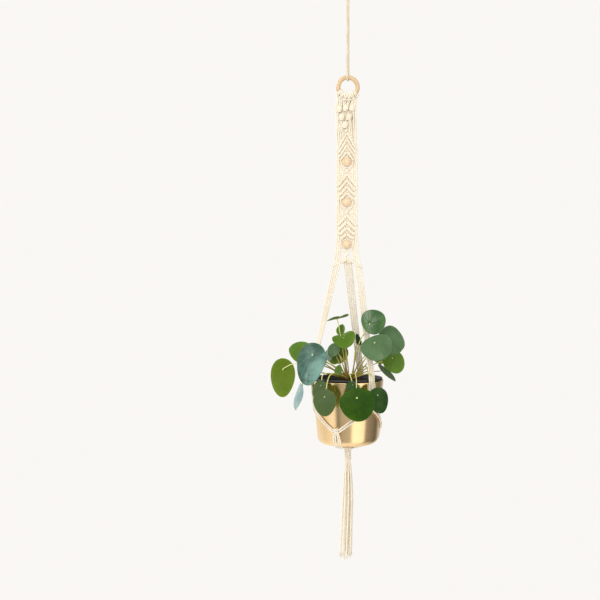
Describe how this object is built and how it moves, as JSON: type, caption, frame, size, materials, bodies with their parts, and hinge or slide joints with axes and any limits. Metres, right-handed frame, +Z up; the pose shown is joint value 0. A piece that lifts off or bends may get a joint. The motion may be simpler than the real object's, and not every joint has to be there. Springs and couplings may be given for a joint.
{
  "type": "hanging macrame planter",
  "caption": "Knotted cotton plant hanger with a wooden ring and beads, holding a tapered brass pot with a round-leaved plant, from a screw-in ceiling hook.",
  "frame": {"origin": "centre of the ceiling plate's top face, where the hook's screw enters the ceiling", "axes": "+Z up along the screw; the planter hangs towards -Z; +X its right and -Y its front"},
  "size_m": [0.2793, 0.2119, 1.285],
  "materials": {
    "cotton_cord": "twisted natural cotton cord, matt",
    "hanging_twine": "twisted cotton twine, matt",
    "ring_wood": "sanded pale wood",
    "bead_wood": "sanded pale wood",
    "pot_brass": "brushed brass, satin",
    "plate_metal": "satin brass",
    "hook_metal": "satin brass",
    "nursery_plastic": "thin black moulded plastic",
    "potting_soil": "loose dark potting mix",
    "plant_stalk": "smooth green stalk",
    "plant_leaf": "smooth waxy leaf"
  },
  "bodies": {
    "hook": {"ceiling_plate": "plate_metal", "screw_hook": "hook_metal"},
    "eye": {"eye_loop": "hanging_twine", "top_knot": "hanging_twine"},
    "hanging_pair": {"hanging_cord": "hanging_twine"},
    "hanger": {"wood_ring": "ring_wood", "larks_head_knots": "cotton_cord", "ring_cords": "cotton_cord", "berry_knots_upper": "cotton_cord", "berry_knots_middle": "cotton_cord", "berry_knot_lower": "cotton_cord", "collar_knot": "cotton_cord", "shoulder_cords": "cotton_cord", "leaf_panel_1": "cotton_cord", "leaf_panel_2": "cotton_cord", "leaf_panel_3": "cotton_cord", "bead_cords_1": "cotton_cord", "bead_cords_2": "cotton_cord", "bead_cords_3": "cotton_cord", "eye_cords_1": "cotton_cord", "eye_cords_2": "cotton_cord", "eye_cords_3": "cotton_cord", "crossing_knot_1": "cotton_cord", "crossing_knot_2": "cotton_cord", "crossing_knot_3": "cotton_cord", "side_cords_left": "cotton_cord", "side_cords_right": "cotton_cord", "wing_left": "cotton_cord", "wing_right": "cotton_cord", "leg_left": "cotton_cord", "leg_right": "cotton_cord", "leg_back": "cotton_cord"},
    "upper_bead": {"bead_1": "bead_wood"},
    "middle_bead": {"bead_2": "bead_wood"},
    "lower_bead": {"bead_3": "bead_wood"},
    "cradle": {"pot": "pot_brass", "cradle_cords_left": "cotton_cord", "cradle_cords_right": "cotton_cord", "cradle_cords_back": "cotton_cord", "cradle_knot_front": "cotton_cord", "cradle_knot_right": "cotton_cord", "cradle_knot_back": "cotton_cord", "base_cords_front": "cotton_cord", "base_cords_right": "cotton_cord", "base_cords_back": "cotton_cord", "gathered_cords": "cotton_cord", "gathering_wrap": "cotton_cord"},
    "tassel_bundle": {"tassel": "cotton_cord"},
    "plant": {"nursery_pot": "nursery_plastic", "soil": "potting_soil", "plant_stem": "plant_stalk", "leaf_stalks": "plant_stalk", "leaf_blades_left": "plant_leaf", "leaf_blades_front": "plant_leaf", "leaf_blades_top": "plant_leaf", "leaf_blades_right": "plant_leaf", "leaf_blades_rear": "plant_leaf"}
  },
  "joints": [
    {"name": "sway", "type": "hinge", "parent": "hook", "child": "eye", "pos_m": [0, 0, -0.051], "axis": [0, 1, 0], "range_deg": [-30, 30]},
    {"name": "cord_twist", "type": "hinge", "parent": "eye", "child": "hanging_pair", "pos_m": [0, 0, -0.0856], "axis": [0, 0, 1], "range_deg": [-180, 180]},
    {"name": "ring_tilt", "type": "hinge", "parent": "hanging_pair", "child": "hanger", "pos_m": [0, 0, -0.2547], "axis": [1, 0, 0], "range_deg": [-35, 35]},
    {"name": "upper_bead_spin", "type": "hinge", "parent": "hanger", "child": "upper_bead", "pos_m": [-0.002, 0, -0.433], "axis": [0, 0, 1], "continuous": true},
    {"name": "middle_bead_spin", "type": "hinge", "parent": "hanger", "child": "middle_bead", "pos_m": [-0.002, 0, -0.518], "axis": [0, 0, 1], "continuous": true},
    {"name": "lower_bead_spin", "type": "hinge", "parent": "hanger", "child": "lower_bead", "pos_m": [-0.002, 0, -0.606], "axis": [0, 0, 1], "continuous": true},
    {"name": "pot_lift", "type": "slide", "parent": "hanger", "child": "cradle", "axis": [0, 0, 1], "range_m": [0, 0.06], "deforming": ["leg_left", "leg_right", "leg_back"]},
    {"name": "tassel_sway", "type": "hinge", "parent": "cradle", "child": "tassel_bundle", "pos_m": [0, 0, -1.0605], "axis": [0, 1, 0], "range_deg": [-30, 30]},
    {"name": "plant_lift", "type": "slide", "parent": "cradle", "child": "plant", "axis": [0, 0, 1], "range_m": [0, 0.01]}
  ]
}
